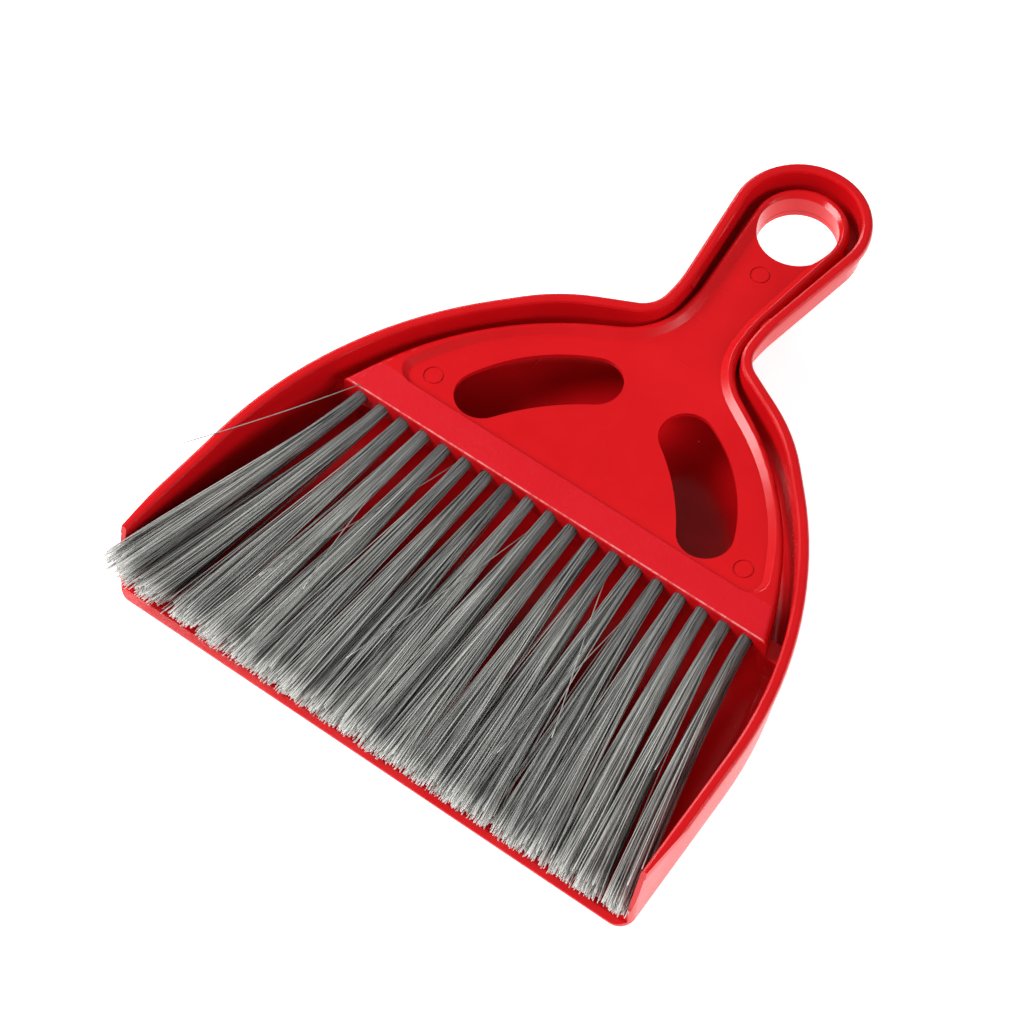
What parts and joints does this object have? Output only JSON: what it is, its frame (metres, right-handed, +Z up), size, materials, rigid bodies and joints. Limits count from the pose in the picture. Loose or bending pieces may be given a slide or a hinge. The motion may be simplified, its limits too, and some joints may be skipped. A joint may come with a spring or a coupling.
{
  "type": "dustpan and brush",
  "caption": "Plastic dustpan with a nesting hand brush, both with a round hanging hole in the handle; one row of long fanned bristle tufts.",
  "frame": {"origin": "centre of the footprint, on the plane the dustpan stands on", "axes": "+Y runs from the mouth to the handle's end, +X across the mouth to the right, +Z up"},
  "size_m": [0.221, 0.28, 0.029],
  "materials": {
    "pan_plastic": "glossy red moulded polypropylene",
    "brush_plastic": "glossy red moulded polypropylene, the bar finely textured",
    "bristle": "grey synthetic filament",
    "anchor_wire": "flat steel anchor"
  },
  "bodies": {
    "dustpan": {"dustpan": "pan_plastic"},
    "brush": {"brush_block": "brush_plastic", "tuft_01": "bristle", "tuft_02": "bristle", "tuft_03": "bristle", "tuft_04": "bristle", "tuft_05": "bristle", "tuft_06": "bristle", "tuft_07": "bristle", "tuft_08": "bristle", "tuft_09": "bristle", "tuft_10": "bristle", "tuft_11": "bristle", "tuft_12": "bristle", "tuft_13": "bristle", "tuft_14": "bristle", "tuft_15": "bristle", "tuft_16": "bristle", "tuft_17": "bristle", "tuft_18": "bristle", "tuft_19": "bristle", "tuft_anchors": "anchor_wire"}
  },
  "joints": [
    {"name": "brush_lift", "type": "slide", "parent": "dustpan", "child": "brush", "axis": [0, 0, 1], "range_m": [0, 0.08]}
  ]
}
